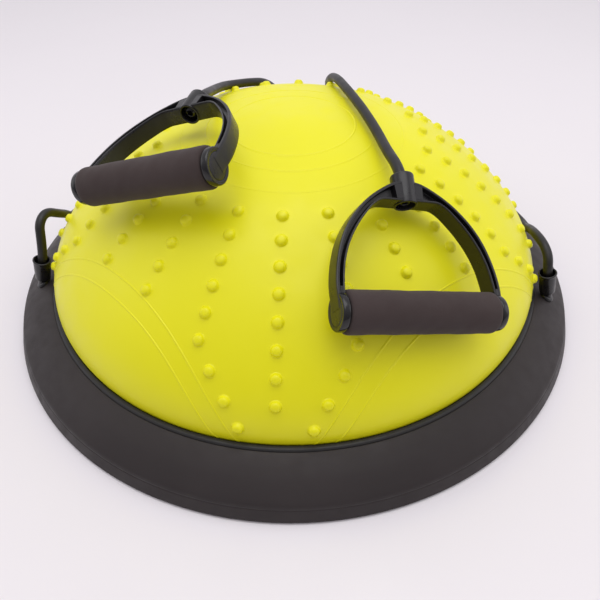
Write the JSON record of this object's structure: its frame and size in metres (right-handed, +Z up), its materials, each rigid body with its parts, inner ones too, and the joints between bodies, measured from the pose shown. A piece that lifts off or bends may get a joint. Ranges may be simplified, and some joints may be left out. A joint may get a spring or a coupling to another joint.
{
  "type": "balance dome trainer",
  "caption": "Inflated rubber half dome on a round plastic platform, with rubber bands from rim cups over the dome to D-shaped foam-grip handles.",
  "frame": {"origin": "middle of the footprint on the floor", "axes": "+Z up through the middle of the dome, -Y to the front edge, +X to the right-hand band cup"},
  "size_m": [0.5885, 0.5886, 0.2263],
  "materials": {
    "platform_plastic": "fine moulded grain",
    "ring_plastic": "satin moulded plastic, warm dark grey",
    "trim_rubber": "smooth dark rubber bead",
    "dome_rubber": "smooth lime green-yellow rubber, satin",
    "screw_steel": "zinc plated",
    "fitting_plastic": "black satin plastic",
    "band_rubber": "matte warm grey-black latex tube",
    "ball_plastic": "black gloss",
    "frame_plastic": "black satin injection moulding",
    "axle_plastic": "black plastic tube",
    "grip_foam": "matte closed-cell foam",
    "cap_plastic": "black gloss cap"
  },
  "bodies": {
    "base": {"base_plate": "platform_plastic", "base_ring": "ring_plastic", "rim_trim": "trim_rubber", "dome_membrane": "dome_rubber", "clamp_ring": "platform_plastic", "seal_ring": "trim_rubber", "base_screws": "screw_steel", "rubber_feet": "trim_rubber", "valve_grommet": "trim_rubber", "anchor_left": "fitting_plastic", "anchor_right": "fitting_plastic", "anchor_screws": "screw_steel", "band_stop_left": "fitting_plastic", "band_stop_right": "fitting_plastic", "band_left": "band_rubber", "band_right": "band_rubber"},
    "valve": {"valve_plug": "fitting_plastic"},
    "band_end_left": {"band_tip_left": "band_rubber", "band_ball_left": "ball_plastic"},
    "handle_left": {"handle_frame_left": "frame_plastic", "grip_axle_left": "axle_plastic", "hub_caps_left": "cap_plastic"},
    "grip_left": {"grip_core_left": "axle_plastic", "grip_foam_left": "grip_foam"},
    "band_end_right": {"band_tip_right": "band_rubber", "band_ball_right": "ball_plastic"},
    "handle_right": {"handle_frame_right": "frame_plastic", "grip_axle_right": "axle_plastic", "hub_caps_right": "cap_plastic"},
    "grip_right": {"grip_core_right": "axle_plastic", "grip_foam_right": "grip_foam"}
  },
  "joints": [
    {"name": "valve_pull", "type": "slide", "parent": "base", "child": "valve", "axis": [0, 0, -1], "range_m": [0, 0.016]},
    {"name": "lift_left", "type": "hinge", "parent": "base", "child": "band_end_left", "pos_m": [-0.081, 0.06, 0.1875], "axis": [-0.9045, 0.2711, -0.3292], "range_deg": [0, 70], "deforming": ["band_tip_left"]},
    {"name": "swivel_left", "type": "hinge", "parent": "band_end_left", "child": "handle_left", "pos_m": [-0.0823, -0.0111, 0.2066], "axis": [0.2327, 0.9606, 0.1519], "range_deg": [-2, 8]},
    {"name": "grip_spin_left", "type": "hinge", "parent": "handle_left", "child": "grip_left", "pos_m": [-0.1065, -0.111, 0.1908], "axis": [0.9045, -0.2711, 0.3292], "continuous": true},
    {"name": "lift_right", "type": "hinge", "parent": "base", "child": "band_end_right", "pos_m": [0.07975, -0.042, 0.18875], "axis": [-0.9242, -0.2841, 0.2551], "range_deg": [0, 70], "deforming": ["band_tip_right"]},
    {"name": "swivel_right", "type": "hinge", "parent": "band_end_right", "child": "handle_right", "pos_m": [0.09236, -0.10309, 0.18533], "axis": [-0.1206, 0.8511, 0.5109], "range_deg": [-8, 2]},
    {"name": "grip_spin_right", "type": "hinge", "parent": "handle_right", "child": "grip_right", "pos_m": [0.1049, -0.1916, 0.1322], "axis": [0.9242, 0.2841, -0.2551], "continuous": true}
  ]
}
